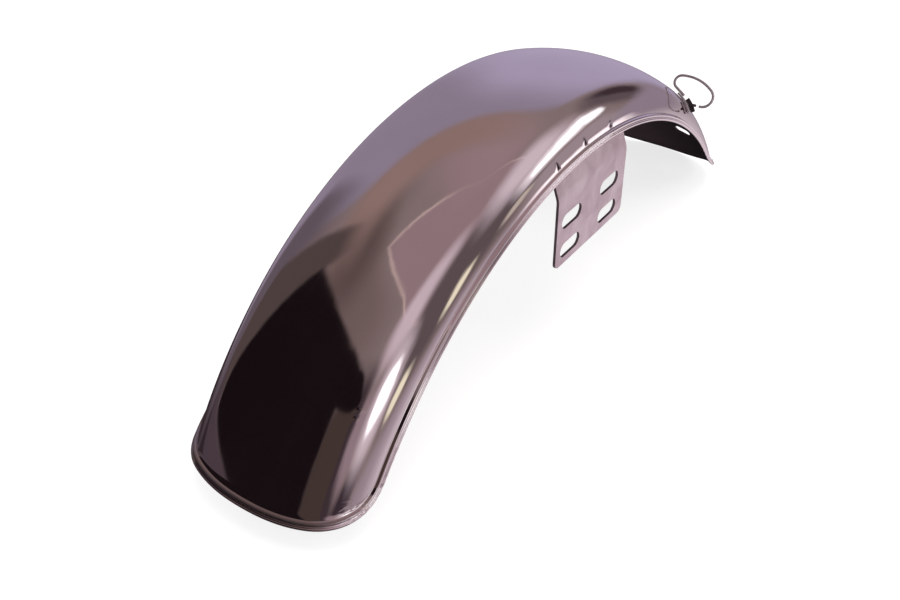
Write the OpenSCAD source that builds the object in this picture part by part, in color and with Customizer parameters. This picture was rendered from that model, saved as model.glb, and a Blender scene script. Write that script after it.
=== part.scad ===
/* [Blade] */
// outside radius of the crown, measured from the wheel axle
crown_r = 320; // [290:5:350]
// thickness of the pressed sheet
sheet_t = 1.2; // [1:0.1:1.6]
// radius of the shallow arch across the crown
arch_r = 143; // [125:1:170]
// radius of the rounded shoulders
shoulder_r = 34; // [28:1:38]
// width that the two shoulder curves would reach
shoulder_w = 134; // [124:1:140]
// drop from the top of the crown to the crease above the rim
rim_drop = 28.5; // [26:0.5:32]
// angle from the top to the corner of the rear end
rear_corner = 51.7; // [45:0.1:60]
// angle that the rear end bulges past its corners
rear_bulge = 7.8; // [5:0.1:12]
// squareness of the rear end, where 2 is an ellipse
rear_square = 2.6; // [2:0.1:3.2]
// angle from the top to the corner of the front end
front_corner = 48.7; // [42:0.1:56]
// angle that the front end bulges past its corners
front_bulge = 14.3; // [8:0.1:18]
// squareness of the front end, where 2 is an ellipse
front_square = 2.3; // [2:0.1:3.2]

/* [Rim] */
// how far the rim steps out from the skirt
rim_step = 2; // [1.6:0.1:2.6]
// run of the fillet that leads out to the step
rim_lead = 1.6; // [1.4:0.1:2.2]
// width of the flat band on the rim
rim_band = 3; // [2.6:0.1:4]
// depth of the fine groove along the band
groove_d = 0.4; // [0.2:0.1:0.5]
// radius of the rolled edge
hem_r = 1.15; // [1:0.05:1.4]

/* [Front hole] */
// angle from the top to the slot in the front end
hole_at = 56; // [52:0.5:58]
// distance of the slot from the middle, towards the right
hole_off = 28; // [20:1:36]
// length of the slot across the blade
hole_l = 16; // [12:1:20]
// width of the slot along the blade
hole_w = 8; // [5:0.5:10]

/* [Fork plates] */
// how far the outer face of a fork plate stands out past the shoulder
plate_out = 3; // [2:0.5:6]
// thickness of a fork plate
plate_t = 2; // [1.6:0.1:2.5]
// metal left beyond the slots at each side of a fork plate
plate_edge = 8; // [5:0.5:14]
// how far the plate's middle sits ahead of its slots
plate_ahead = 2; // [0:0.5:4]
// distance of the slots' middle below the crease
slots_under = 52.5; // [48:0.5:62]
// distance of the slots' middle ahead of the axle
slots_ahead = 5; // [0:1:10]
// distance between the slots along the plate
slot_dx = 52; // [48:1:56]
// distance between the two rows of slots
slot_dz = 23; // [20:1:26]
// end-to-end length of a slot
slot_l = 26; // [20:1:30]
// width of a slot
slot_w = 11; // [9:0.5:12]
// distance from the lower slots' middle to the plate's bottom edge
plate_foot = 11; // [10:0.5:16]
// corner radius at the bottom of the plate
plate_corner = 5; // [3:0.5:8]
// height of the welded strip of the plate inside the skirt
weld_h = 15; // [12:1:20]
// bend radius where the plate turns straight down
bend_r = 16; // [12:1:22]

/* [Cable guide] */
// angle from the top to the cable guide
guide_at = 37.5; // [34:0.5:40]
// distance around the sheet from the crease up to the guide strip's middle
guide_up = 18; // [16:1:26]
// length of the guide strip around the shoulder
strip_l = 18; // [16:1:22]
// width of the guide strip along the blade
strip_w = 8; // [6:0.5:10]
// thickness of the guide strip
strip_t = 1.6; // [1.2:0.1:2]
// length of the lug that stands up along the strip's front edge
lug_l = 11; // [9:0.5:13]
// height of the lug over the strip
lug_h = 3.2; // [3:0.1:5]
// thickness of the lug
lug_t = 1.6; // [1.2:0.1:2]
// diameter of the guide wire
wire_d = 2.2; // [1.8:0.1:2.4]
// angle between the wire's leg and a line straight out to the side
leg_a = 151.5; // [148:0.5:156]
// length of the wire's straight leg
leg_l = 10; // [6:0.1:14]
// middle radius of the wire's inner bend
inner_r = 5.5; // [5:0.1:6.5]
// angle of the wire's inner bend
inner_turn = 140.5; // [136:0.5:146]
// middle radius of the wire's shallow bow
bow_r = 35; // [32:0.5:38]
// angle of the wire's shallow bow
bow_turn = 47.5; // [40:0.5:52]
// middle radius of the wire's outer bend
outer_r = 7.8; // [7:0.1:9]
// angle of the wire's outer bend
outer_turn = 141; // [136:0.5:144]
// length of the wire's straight tail
tail_l = 1; // [0.5:0.1:3]
// gap that a cable is pressed through into the loop
loop_gap = 2.6; // [2:0.1:4]
// length of the stud that ends the gap
stud_l = 3.8; // [3:0.1:4.5]

/* [Seats] */
// gap left between pieces where the real ones are welded
seat = 0.15; // [0.1:0.05:0.3]

/* [Hidden] */
$fn = 64;
n_across = 30;
n_along = 40;
half = shoulder_w / 2;
arch_z = crown_r - arch_r;
sh_z = arch_z + sqrt(pow(arch_r - shoulder_r, 2) - pow(half - shoulder_r, 2));
phi = atan2(half - shoulder_r, sh_z - arch_z);
crease_r = crown_r - rim_drop;
turn = crease_r >= sh_z ? acos((crease_r - sh_z) / shoulder_r) : 90;
s_arch = arch_r * phi * PI / 180;
s_shoulder = shoulder_r * (turn - phi) * PI / 180;
s_flat = max(0, sh_z - crease_r);
girth = s_arch + s_shoulder + s_flat;
slots_z = crease_r - slots_under;
face_y = half + plate_out;
plate_l = slot_dx + slot_l + 2 * plate_edge;
guide_off = girth - guide_up;
through = 2 * face_y;

// Across the blade: distance along the sheet from the middle gives
// [sideways, radius, lean of the outward direction].
function across(u) =
    let (a = abs(u), g = u < 0 ? -1 : 1)
    a <= s_arch
        ? let (t = a / arch_r * 180 / PI) [g * arch_r * sin(t), arch_z + arch_r * cos(t), g * t]
        : a <= s_arch + s_shoulder
            ? let (t = phi + (a - s_arch) / shoulder_r * 180 / PI)
                [g * (half - shoulder_r + shoulder_r * sin(t)), sh_z + shoulder_r * cos(t), g * t]
            : [g * half, sh_z - (a - s_arch - s_shoulder), g * 90];

// Angle of an end at a place across the blade: a corner plus a rounded bulge.
function bulge(x, q) = pow(max(0, 1 - pow(x, q)), 1 / q);
function end_at(u, front) =
    let (x = min(1, abs(u) / girth))
    front ? front_corner + front_bulge * bulge(x, front_square)
          : -rear_corner - rear_bulge * bulge(x, rear_square);

// Direction in the sheet that points straight out over the edge of an end.
function out_dir(u, front) =
    let (x = min(1, abs(u) / girth), g = u < 0 ? -1 : 1, q = front ? front_square : rear_square,
         e = (front ? front_bulge : rear_bulge) * PI / 180 * crown_r,
         a = pow(x, q - 1) / girth, b = pow(bulge(x, q), q - 1) / e, n = norm([a, b]))
    [g * a / n, (front ? 1 : -1) * b / n];

// A point near the sheet: a steps out over the edge, b steps out from the skin.
function place(u, th, d, a, b) =
    let (s = across(u), y = s[0] + a * d[0] * cos(s[2]) + b * sin(s[2]),
         r = s[1] - a * d[0] * sin(s[2]) + b * cos(s[2]))
    [r * sin(th) + a * d[1] * cos(th), y, r * cos(th) - a * d[1] * sin(th)];

// Places across the blade, closer together towards the shoulders.
q_mid = 4 / (rear_square + front_square);
function u_at(j) =
    let (t = -90 + 180 * j / n_across) girth * (t < 0 ? -1 : 1) * pow(abs(sin(t)), q_mid);
function th_at(i, j) =
    let (u = u_at(j), a = end_at(u, false), b = end_at(u, true)) a + (b - a) * i / n_along;

// The edge as one closed run: right side, front end, left side, rear end.
edge = concat(
    [for (i = [0 : n_along]) [u_at(0), th_at(i, 0), [-1, 0]]],
    [for (j = [1 : n_across - 1]) [u_at(j), end_at(u_at(j), true), out_dir(u_at(j), true)]],
    [for (i = [n_along : -1 : 0]) [u_at(n_across), th_at(i, n_across), [1, 0]]],
    [for (j = [n_across - 1 : -1 : 1]) [u_at(j), end_at(u_at(j), false), out_dir(u_at(j), false)]]);
n_edge = len(edge);

// The rim's outline from the outer skin round the rolled edge to the inner skin.
hem_a = rim_lead + rim_band + hem_r * 0.3;
hem_b = rim_step - hem_r * 0.75;
rim_line = concat(
    [[rim_lead * 0.5, rim_step * 0.25], [rim_lead * 0.85, rim_step * 0.8],
     [rim_lead * 1.2, rim_step], [rim_lead + rim_band * 0.5, rim_step - groove_d],
     [rim_lead + rim_band * 0.85, rim_step]],
    [for (t = [80, 30, -20, -70, -120]) [hem_a + hem_r * cos(t), hem_b + hem_r * sin(t)]],
    [[rim_lead + rim_band * 0.5, rim_step - groove_d - sheet_t * 0.8],
     [rim_lead * 1.2, rim_step - sheet_t], [rim_lead * 0.7, -sheet_t * 0.4]]);
n_rim = len(rim_line);

module blade_sheet() {
    w = n_across + 1;
    grid = (n_along + 1) * w;
    outer = [for (i = [0 : n_along]) for (j = [0 : n_across]) place(u_at(j), th_at(i, j), [0, 0], 0, 0)];
    inner = [for (i = [0 : n_along]) for (j = [0 : n_across])
        place(u_at(j), th_at(i, j), [0, 0], 0, -sheet_t)];
    rings = [for (c = rim_line) for (e = edge) place(e[0], e[1], e[2], c[0], c[1])];
    edge_id = concat([for (i = [0 : n_along]) i * w], [for (j = [1 : n_across - 1]) n_along * w + j],
        [for (i = [n_along : -1 : 0]) i * w + n_across], [for (j = [n_across - 1 : -1 : 1]) j]);
    ring_id = concat([edge_id], [for (k = [0 : n_rim - 1]) [for (e = [0 : n_edge - 1]) 2 * grid + k * n_edge + e]],
        [[for (e = edge_id) e + grid]]);
    faces = concat(
        [for (i = [0 : n_along - 1]) for (j = [0 : n_across - 1]) let (a = i * w + j)
            each [[a, a + 1, a + w + 1], [a, a + w + 1, a + w]]],
        [for (i = [0 : n_along - 1]) for (j = [0 : n_across - 1]) let (a = grid + i * w + j)
            each [[a, a + w + 1, a + 1], [a, a + w, a + w + 1]]],
        [for (k = [0 : n_rim]) for (e = [0 : n_edge - 1])
            let (f = (e + 1) % n_edge, p = ring_id[k], q = ring_id[k + 1])
            each [[p[e], p[f], q[f]], [p[e], q[f], q[e]]]]);
    polyhedron(points = concat(outer, inner, rings), faces = faces, convexity = 8);
}

module hole_cutter() {
    rotate([0, hole_at, 0]) translate([0, -hole_off, arch_z]) {
        for (s = [-1, 1]) translate([0, s * (hole_l - hole_w) / 2, 0]) cylinder(d = hole_w, h = 2 * arch_r);
        translate([-hole_w / 2, -(hole_l - hole_w) / 2, 0]) cube([hole_w, hole_l - hole_w, 2 * arch_r]);
    }
}

// Everything is drawn round the axle and then moved so that the middle of the
// slots on the outer face of the right fork plate is the origin.
module placed() {
    translate([-slots_ahead, face_y, -slots_z]) children();
}

module blade() color("silver") placed() difference() {
    blade_sheet();
    hole_cutter();
}

// The plate's outline across: it follows the inside of the skirt, carries on in
// the skirt's direction past the rim, and then bends to run straight down.
w_top = across(girth - weld_h);
w_low = across(girth);
lean = 90 - turn;
run_y = face_y - (w_low[0] - (sheet_t + seat) * sin(turn)) - bend_r * (1 - cos(lean));
run_r = run_y / tan(max(lean, 8));
low_pt = [w_low[1] - run_r, face_y - bend_r * (1 - cos(lean))];
bend_c = [low_pt[0] - bend_r * sin(lean), face_y - bend_r];
function weld_line(off) = [for (k = [0 : 6]) let (s = across(girth - weld_h + weld_h * k / 6))
    [s[1] + off * cos(s[2]), s[0] + off * sin(s[2])]];
function bend_line(r) = [for (k = [0 : 5]) let (t = lean * (1 - k / 5)) bend_c + r * [sin(t), cos(t)]];
function turned(l) = [for (k = [len(l) - 1 : -1 : 0]) l[k]];

module plate() {
    out_off = -sheet_t - seat;
    foot = slots_z - slot_dz / 2 - plate_foot;
    x0 = slots_ahead + plate_ahead - plate_l / 2;
    profile = concat(weld_line(out_off), bend_line(bend_r), [[foot / 2, face_y]],
        [[foot / 2, face_y - plate_t]], turned(bend_line(bend_r - plate_t)),
        turned(weld_line(out_off - plate_t)));
    difference() {
        intersection() {
            rotate([90, 0, 0]) rotate([0, 0, 60]) rotate_extrude(angle = 60, $fn = 180) polygon(profile);
            union() {
                translate([x0, -through, foot + plate_corner]) cube([plate_l, through, crown_r]);
                translate([x0 + plate_corner, -through, foot])
                    cube([plate_l - 2 * plate_corner, through, plate_corner + 1]);
                for (x = [x0 + plate_corner, x0 + plate_l - plate_corner])
                    translate([x, 0, foot + plate_corner]) rotate([90, 0, 0]) cylinder(r = plate_corner, h = through);
            }
        }
        for (x = [-1, 1], z = [-1, 1])
            translate([slots_ahead + x * slot_dx / 2, -face_y / 2, slots_z + z * slot_dz / 2])
                rotate([90, 0, 0]) {
                    for (s = [-1, 1]) translate([s * (slot_l - slot_w) / 2, 0, 0]) cylinder(d = slot_w, h = face_y);
                    translate([-(slot_l - slot_w) / 2, -slot_w / 2, 0]) cube([slot_l - slot_w, slot_w, face_y]);
                }
    }
}

module plate_right() color("lightsteelblue") placed() plate();
module plate_left() color("lightsteelblue") placed() mirror([0, 1, 0]) plate();

// The guide's own frame: x outwards to the side, y away from the axle, and
// z back along the blade, with its origin on the skin under the strip's middle.
g_at = across(guide_off);
module guide_frame() {
    placed() rotate([0, guide_at, 0]) translate([0, -g_at[0], g_at[1]])
        rotate([90, 0, -90]) children();
}
function strip_line(off, mid, l) = [for (k = [0 : 8])
    let (s = across(mid + l * (k / 8 - 0.5)))
    [s[1] + off * cos(s[2]), s[0] + off * sin(s[2])]];

// A band around the shoulder that starts at the strip's front edge: its
// middle and length around the sheet, its height above the skin, its width.
module shoulder_band(mid, l, h, w)
    rotate([90, 0, 0]) rotate([0, 0, 90 - guide_at - asin(strip_w / 2 / g_at[1])])
        rotate_extrude(angle = asin(w / g_at[1]), $fn = 180)
            polygon(concat(strip_line(seat, mid, l), turned(strip_line(seat + h, mid, l))));

module guide_strip() color("silver") placed() {
    shoulder_band(guide_off, strip_l, strip_t, strip_w);
    shoulder_band(guide_off + (strip_l - lug_l) / 2 - lug_t / 2, lug_l, strip_t + lug_h, lug_t);
}

// The wire is bent in one plane that touches the lug. Each piece of its run
// carries the next one at its end: straight pieces, and bends turning down.
wire_z = lug_t - strip_w / 2 + seat + wire_d / 2;
leg_at = across(guide_off - strip_l / 2 + wire_d * 1.4);
leg_off = strip_t + 2 * seat + wire_d / 2;
leg_x = leg_at[0] - g_at[0] + leg_off * sin(leg_at[2]);
leg_y = leg_at[1] - g_at[1] + leg_off * cos(leg_at[2]);
module straight(l) {
    rotate([0, 90, 0]) cylinder(d = wire_d, h = l, $fn = 32);
    translate([l, 0, 0]) children();
}
module bend(r, a) {
    sphere(d = wire_d * 1.02, $fn = 32);
    translate([0, -r, 0]) rotate([0, 0, 90 - a])
        rotate_extrude(angle = a) translate([r, 0]) circle(d = wire_d, $fn = 32);
    translate([0, -r, 0]) rotate([0, 0, -a]) translate([0, r, 0]) children();
}

module guide_loop() color("silver") guide_frame() translate([leg_x, leg_y, wire_z]) rotate([0, 0, leg_a])
    straight(leg_l) bend(inner_r, inner_turn) bend(bow_r, bow_turn) bend(outer_r, outer_turn) {
        sphere(d = wire_d * 1.02, $fn = 32);
        straight(tail_l);
    }

// Where the run above ends, found by adding up its pieces, and the stud that
// faces it across the cable gap, standing on the lug.
function step(at, a, l) = [at[0] + l * cos(a), at[1] + l * sin(a)];
function turn_down(at, a, r, t) = step(step(at, a - 90, r), a + 90 - t, r);
a_1 = leg_a - inner_turn;
a_2 = a_1 - bow_turn;
a_3 = a_2 - outer_turn;
bend_1 = turn_down(step([leg_x, leg_y], leg_a, leg_l), leg_a, inner_r, inner_turn);
bend_2 = turn_down(bend_1, a_1, bow_r, bow_turn);
bend_3 = turn_down(bend_2, a_2, outer_r, outer_turn);
stud_at = step(bend_3, a_3, tail_l + loop_gap);
module guide_stud() color("dimgray") guide_frame() translate([stud_at[0], stud_at[1], wire_z])
    rotate([0, 0, a_3]) rotate([0, 90, 0]) cylinder(d = wire_d, h = stud_l, $fn = 32);

blade();
plate_right();
plate_left();
guide_strip();
guide_loop();
guide_stud();
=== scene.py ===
# %% [markdown]
# # A chromed front mudguard, dressed for a photograph
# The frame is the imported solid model: its nodes give the true size and place of every piece.
# This lesson replaces each node with a finer surface of the same shape, gives it a real
# finish, and lights it the way polished metal is photographed: by what it reflects.

# %% Load the frame and keep its box
import math
import bpy
import bmesh
import numpy as np
from mathutils import Matrix, Vector


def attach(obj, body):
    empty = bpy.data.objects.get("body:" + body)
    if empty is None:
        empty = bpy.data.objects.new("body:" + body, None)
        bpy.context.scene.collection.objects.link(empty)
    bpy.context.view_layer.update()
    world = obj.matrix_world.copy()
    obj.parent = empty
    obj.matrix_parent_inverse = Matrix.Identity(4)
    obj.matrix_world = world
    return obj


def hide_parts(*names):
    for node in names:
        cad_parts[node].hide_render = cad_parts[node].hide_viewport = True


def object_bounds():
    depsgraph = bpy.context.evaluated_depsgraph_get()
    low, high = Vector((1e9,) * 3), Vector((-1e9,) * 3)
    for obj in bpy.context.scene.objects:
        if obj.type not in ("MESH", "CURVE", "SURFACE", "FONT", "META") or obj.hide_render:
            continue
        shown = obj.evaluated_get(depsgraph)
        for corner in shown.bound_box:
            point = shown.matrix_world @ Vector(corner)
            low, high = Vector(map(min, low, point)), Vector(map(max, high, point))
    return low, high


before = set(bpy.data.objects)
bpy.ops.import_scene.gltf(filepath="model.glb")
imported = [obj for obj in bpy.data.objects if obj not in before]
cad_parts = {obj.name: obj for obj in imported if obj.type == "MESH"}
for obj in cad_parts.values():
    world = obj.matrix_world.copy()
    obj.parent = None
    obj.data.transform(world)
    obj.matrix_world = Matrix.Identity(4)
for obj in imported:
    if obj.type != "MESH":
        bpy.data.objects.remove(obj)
cad_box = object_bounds()
MM = 0.001
print("frame nodes:", sorted(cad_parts))

# %% [markdown]
# ## Sizes
# A scene script cannot read the solid model's source, so the sizes that shape the pieces are
# repeated here, in millimetres. All shapes are first worked out round the wheel axle, because
# the blade is an arc round it, and then moved to the frame's origin, which is the middle of
# the slots on the right fork plate.

# %% Blade sizes in millimetres and degrees
CROWN_R, SHEET = 320.0, 1.2
ARCH_R, SHOULDER_R, SHOULDER_W, RIM_DROP = 143.0, 34.0, 134.0, 28.5
REAR = dict(corner=51.7, bulge=7.8, square=2.6)
FRONT = dict(corner=48.7, bulge=14.3, square=2.3)
RIM_STEP, RIM_LEAD, RIM_BAND, GROOVE, HEM_R = 2.0, 1.6, 3.0, 0.4, 1.15
HOLE_AT, HOLE_OFF, HOLE_L, HOLE_W = 56.0, 28.0, 16.0, 8.0
ORIGIN = np.array([5.0, -70.0, 239.0])

half = SHOULDER_W / 2
arch_z = CROWN_R - ARCH_R
shoulder_z = arch_z + math.sqrt((ARCH_R - SHOULDER_R) ** 2 - (half - SHOULDER_R) ** 2)
phi = math.atan2(half - SHOULDER_R, shoulder_z - arch_z)
turn = math.acos((CROWN_R - RIM_DROP - shoulder_z) / SHOULDER_R)
s_arch = ARCH_R * phi
GIRTH = s_arch + SHOULDER_R * (turn - phi)
print("half girth %.1f mm, skirt leans %.1f degrees at the crease" % (GIRTH, math.degrees(turn)))

# %% [markdown]
# ## Small tools
# `to_row` moves points from the axle to the frame's origin and turns millimetres to metres.
# `mesh_piece` makes an object from arrays. `tint` turns an sRGB hex colour to linear light.
# `add` adds one node to a shader, and the short functions under it are the few kinds of node
# that all the finishes and the surroundings are made of.

# %% Helpers for meshes and colours
def to_row(p):
    """Axle-centred millimetres to the frame's metres: subtract the origin, then divide by 1000."""
    return (np.asarray(p) - ORIGIN) * MM


def mesh_piece(name, points, faces, slots):
    """Puts arrays into a mesh. `faces` is a list of arrays of shape (n, 3) or (n, 4), one for
    each material in `slots`."""
    me = bpy.data.meshes.new(name)
    loops = np.concatenate([f.ravel() for f in faces])
    sizes = np.concatenate([np.full(len(f), f.shape[1]) for f in faces])
    mats = np.concatenate([np.full(len(f), min(k, len(slots) - 1)) for k, f in enumerate(faces)])
    starts = np.concatenate([[0], np.cumsum(sizes)[:-1]])
    me.vertices.add(len(points))
    me.vertices.foreach_set("co", np.asarray(points, dtype=np.float32).ravel())
    me.loops.add(len(loops))
    me.loops.foreach_set("vertex_index", loops.astype(np.int32))
    me.polygons.add(len(sizes))
    me.polygons.foreach_set("loop_start", starts.astype(np.int32))
    me.polygons.foreach_set("material_index", mats.astype(np.int32))
    me.polygons.foreach_set("use_smooth", np.ones(len(sizes), bool))
    me.update(calc_edges=True)
    me.validate()
    ob = bpy.data.objects.new(name, me)
    bpy.context.scene.collection.objects.link(ob)
    for m in slots:
        me.materials.append(m)
    return ob


def tint(hex_colour):
    """sRGB hex to linear: each channel is divided by 12.92 below 0.04045, else raised to 2.4."""
    c = [int(hex_colour[i:i + 2], 16) / 255 for i in (1, 3, 5)]
    return tuple(v / 12.92 if v <= 0.04045 else ((v + 0.055) / 1.055) ** 2.4 for v in c) + (1.0,)


print("mid grey is %.3f in linear light" % tint("#808080")[0])


# %% Helpers for nodes
def add(tree, kind, links=(), **settings):
    """Adds one node. `settings` are sockets by name or attributes; `links` are pairs of a socket
    and its source."""
    n = tree.nodes.new(kind)
    for key, value in settings.items():
        if hasattr(n, key):
            setattr(n, key, value)
        else:
            n.inputs[key.replace("_", " ")].default_value = value
    for socket, source in links:
        tree.links.new(source, n.inputs[socket])
    return n


def feed(tree, socket, value):
    """Gives a socket its value: another node's output, an sRGB hex colour, or plain numbers."""
    if isinstance(value, bpy.types.NodeSocket):
        tree.links.new(value, socket)
    else:
        socket.default_value = tint(value) if isinstance(value, str) else value


def maths(tree, operation, *values):
    """One step of arithmetic on outputs and plain numbers."""
    n = add(tree, "ShaderNodeMath", operation=operation)
    for socket, value in zip(n.inputs, values):
        feed(tree, socket, value)
    return n.outputs[0]


def blend(tree, factor, first, second, kind="RGBA"):
    """Mix: first times one minus the factor, plus second times the factor."""
    n = add(tree, "ShaderNodeMix", [("Factor", factor)], data_type=kind)
    feed(tree, n.inputs["A"], first)
    feed(tree, n.inputs["B"], second)
    return n.outputs["Result"]


print("node helpers ready")


# %% Kinds of node
def ranged(tree, value, start, end, low=0.0, high=1.0, kind="LINEAR"):
    """Carries start to end on to low to high, and holds the ends outside them."""
    return add(tree, "ShaderNodeMapRange", [("Value", value)], interpolation_type=kind,
               From_Min=start, From_Max=end, To_Min=low, To_Max=high).outputs[0]


def noise(tree, at, size, **settings):
    """Cloudy pattern from 0 to 1 whose clouds are about `size` metres apart."""
    n = add(tree, "ShaderNodeTexNoise", [("Vector", at)], Scale=1 / size, **settings)
    return n.outputs["Fac"]


def stretched(tree, at, sizes):
    """Coordinates divided by a size in metres on each axis, for patterns that run one way."""
    scale = tuple(1 / v for v in sizes)
    return add(tree, "ShaderNodeMapping", [("Vector", at)], Scale=scale).outputs[0]


def bump(tree, height, depth, strength, under=None):
    """Normal tilted by the slope of a height times the depth in metres, on top of another one."""
    n = add(tree, "ShaderNodeBump", [("Height", height)], Distance=depth)
    feed(tree, n.inputs["Strength"], strength)
    if under is not None:
        tree.links.new(under, n.inputs["Normal"])
    return n.outputs[0]


def new_metal(name, metallic, roughness=None):
    """A material with only a metal surface and an output. Returns it, its tree, its surface and
    its place on the object."""
    m = bpy.data.materials.new(name)
    m.use_nodes = True
    t = m.node_tree
    t.nodes.clear()
    surface = add(t, "ShaderNodeBsdfPrincipled", Metallic=metallic)
    if roughness is not None:
        surface.inputs["Roughness"].default_value = roughness
    add(t, "ShaderNodeOutputMaterial", [("Surface", surface.outputs[0])])
    return m, t, surface.inputs, add(t, "ShaderNodeTexCoord").outputs["Object"]


print("kinds of node ready")

# %% [markdown]
# ## The blade's shape
# The real blade is one pressing. Across it runs a shallow arch that turns into tighter
# shoulders; along it the section is carried round the axle; each end is a rounded bulge past
# its corners. So a point is a place `u` across the sheet and an angle `th` along it. Writing
# that as two functions of arrays gives a surface with no facets for the polish to show.

# %% Section and placing functions
def across(u):
    """Place on the section at developed distance u: an arc of the arch radius, then one of the
    shoulder radius. Returns sideways distance, radius from the axle and lean of the normal."""
    a, g = np.abs(u), np.where(np.asarray(u) < 0, -1.0, 1.0)
    t1 = a / ARCH_R
    t2 = phi + (a - s_arch) / SHOULDER_R
    on_arch = a <= s_arch
    y = np.where(on_arch, ARCH_R * np.sin(t1), half - SHOULDER_R + SHOULDER_R * np.sin(t2))
    r = np.where(on_arch, arch_z + ARCH_R * np.cos(t1), shoulder_z + SHOULDER_R * np.cos(t2))
    return g * y, r, g * np.where(on_arch, t1, t2)


def bulge(x, q):
    """Superellipse: the q-th root of one minus x to the power q."""
    return np.maximum(0, 1 - x ** q) ** (1 / q)


def end_at(u, end, sign):
    """Angle of an end at u: its corner angle plus the bulge, in degrees."""
    x = np.minimum(1, np.abs(u) / GIRTH)
    return sign * (end["corner"] + end["bulge"] * bulge(x, end["square"]))


def out_dir(u, end, sign):
    """Unit direction in the sheet square to the end's edge: the gradient of the superellipse."""
    x = np.minimum(1, np.abs(u) / GIRTH)
    q, e = end["square"], math.radians(end["bulge"]) * CROWN_R
    a, b = x ** (q - 1) / GIRTH, bulge(x, q) ** (q - 1) / e
    n = np.hypot(a, b)
    return np.sign(u) * a / n, sign * b / n


def place(u, th, du=0.0, ds=0.0, a=0.0, b=0.0):
    """Point near the sheet: a steps out over the edge along (du, ds), b steps out from the skin."""
    y, r, lean = across(u)
    t = np.radians(th)
    yy = y + a * du * np.cos(lean) + b * np.sin(lean)
    rr = r - a * du * np.sin(lean) + b * np.cos(lean)
    x, z = rr * np.sin(t) + a * ds * np.cos(t), rr * np.cos(t) - a * ds * np.sin(t)
    return np.stack([x, yy + 0 * t, z], -1)


print("crown at radius %.1f mm, crease at %.1f" % (across(0.0)[1], across(GIRTH)[1]))

# %% [markdown]
# ## Marks in the sheet
# Pressed and polished sheet is never a perfect surface. It keeps long, very shallow waves
# that bend reflections, the three spot welds over the fork plate pull small dents, and two
# pimples sit on the rear shoulder. They are real relief here, a fraction of a millimetre
# deep, because a bump map would leave the reflections' outlines too perfect.

# %% Relief as a function of place
WELDS = [(-75.0, -6.6), (-75.0, 0.3), (-75.0, 7.2)]
PIMPLES = [(-50.6, -45.7), (-50.2, -46.7)]
WEDGE_H, WEDGE_TOP, WEDGE_GROWS, WELD_DEPTH = 5.6, 0.5, 2.0, 0.4
PIMPLE_H, PIMPLE_R = 0.26, 1.1
LONG_WAVE, CROSS_WAVE, DRAWN_WAVE = 0.05, 0.03, 0.022
DRAWN_AT, DRAWN_REACH, FADE = 56, 9, 12
INSET = 0.14


def weld_mark(u, th):
    """Weld marks as (share, depth), both 0 to 1; the share is how far the colour is painted dark
    there, a painted dark reflection of the dent. Each mark is a wedge 5.6 mm tall with its base,
    5 mm wide, near the crease: its share is one minus the distance from the middle line over the
    half width, and its depth grows down to the base."""
    s = np.radians(th) * CROWN_R
    share, depth = 0 * (u + s), 0 * (u + s)
    for wu, wt in WELDS:
        down = (np.asarray(u) * np.sign(wu) - abs(wu) + WEDGE_H) / WEDGE_H
        inside_wedge = np.clip(down, 0, 1)
        w = np.abs(s - math.radians(wt) * CROWN_R)
        side = np.clip(1.6 * (1 - w / (WEDGE_TOP + WEDGE_GROWS * inside_wedge)), 0, 1)
        # tone: how far the colour is painted dark here, a painted dark reflection of the dent
        tone = side * np.clip(4 * down, 0, 1) * np.clip((1.14 - down) / 0.1, 0, 1)
        dent = side * inside_wedge * np.clip((1.3 - down) / 0.45, 0, 1)
        share, depth = np.maximum(share, tone), np.maximum(depth, dent)
    return share, depth


def relief(u, th):
    """Height on the skin in millimetres: long sine waves, with shorter ones where the shoulder was
    drawn in, less the weld dents, plus two small round pimples. All of it lies a little further
    in than the solid's skin, so that the waves stay inside the solid's box."""
    s = np.radians(th) * CROWN_R
    h = LONG_WAVE * np.sin(s / 31 + 0.8) * np.sin(u / 23 + 0.4)
    h = h + CROSS_WAVE * np.sin(s / 17 - u / 29 + 2.0)
    drawn = np.exp(-((np.abs(u) - DRAWN_AT) / DRAWN_REACH) ** 2)
    drawn = drawn * (0.6 + 0.4 * np.sin(s / 53 + u / 9))
    h = h + DRAWN_WAVE * drawn * np.sin(s / 6.1 + 1.3 * np.sin(s / 37))
    h = h * np.clip((GIRTH - np.abs(u)) / FADE, 0, 1) - INSET
    h = h - WELD_DEPTH * weld_mark(u, th)[1]
    for pu, pt in PIMPLES:
        d = np.hypot(u - pu, s - math.radians(pt) * CROWN_R)
        h = h + PIMPLE_H * np.exp(-(d / PIMPLE_R) ** 2)
    return h


print("%d weld marks and %d pimples" % (len(WELDS), len(PIMPLES)))

# %% [markdown]
# ## The blade's grid
# Columns run along the blade at fixed places across it, and crowd towards the shoulders,
# where the sheet turns fastest, and again where the weld marks lie. Rows are even, with more
# of them where a weld mark or a pimple needs finer steps.

# %% Columns and rows
N_ACROSS, N_ALONG = 132, 190
phase = np.linspace(-math.pi / 2, math.pi / 2, N_ACROSS + 1)
crowding = 4 / (REAR["square"] + FRONT["square"])
cols = GIRTH * np.sign(np.sin(phase)) * np.abs(np.sin(phase)) ** crowding
fine = np.linspace(-75.3, -69.3, 13)
cols = np.sort(np.concatenate([cols[np.abs(cols[:, None] - fine).min(1) > 0.3], fine]))


def share_at(u, th):
    """Share of the way from the rear end to the front end at which column u passes angle th."""
    a, b = end_at(np.array(u), REAR, -1), end_at(np.array(u), FRONT, 1)
    return float((th - a) / (b - a))


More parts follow.
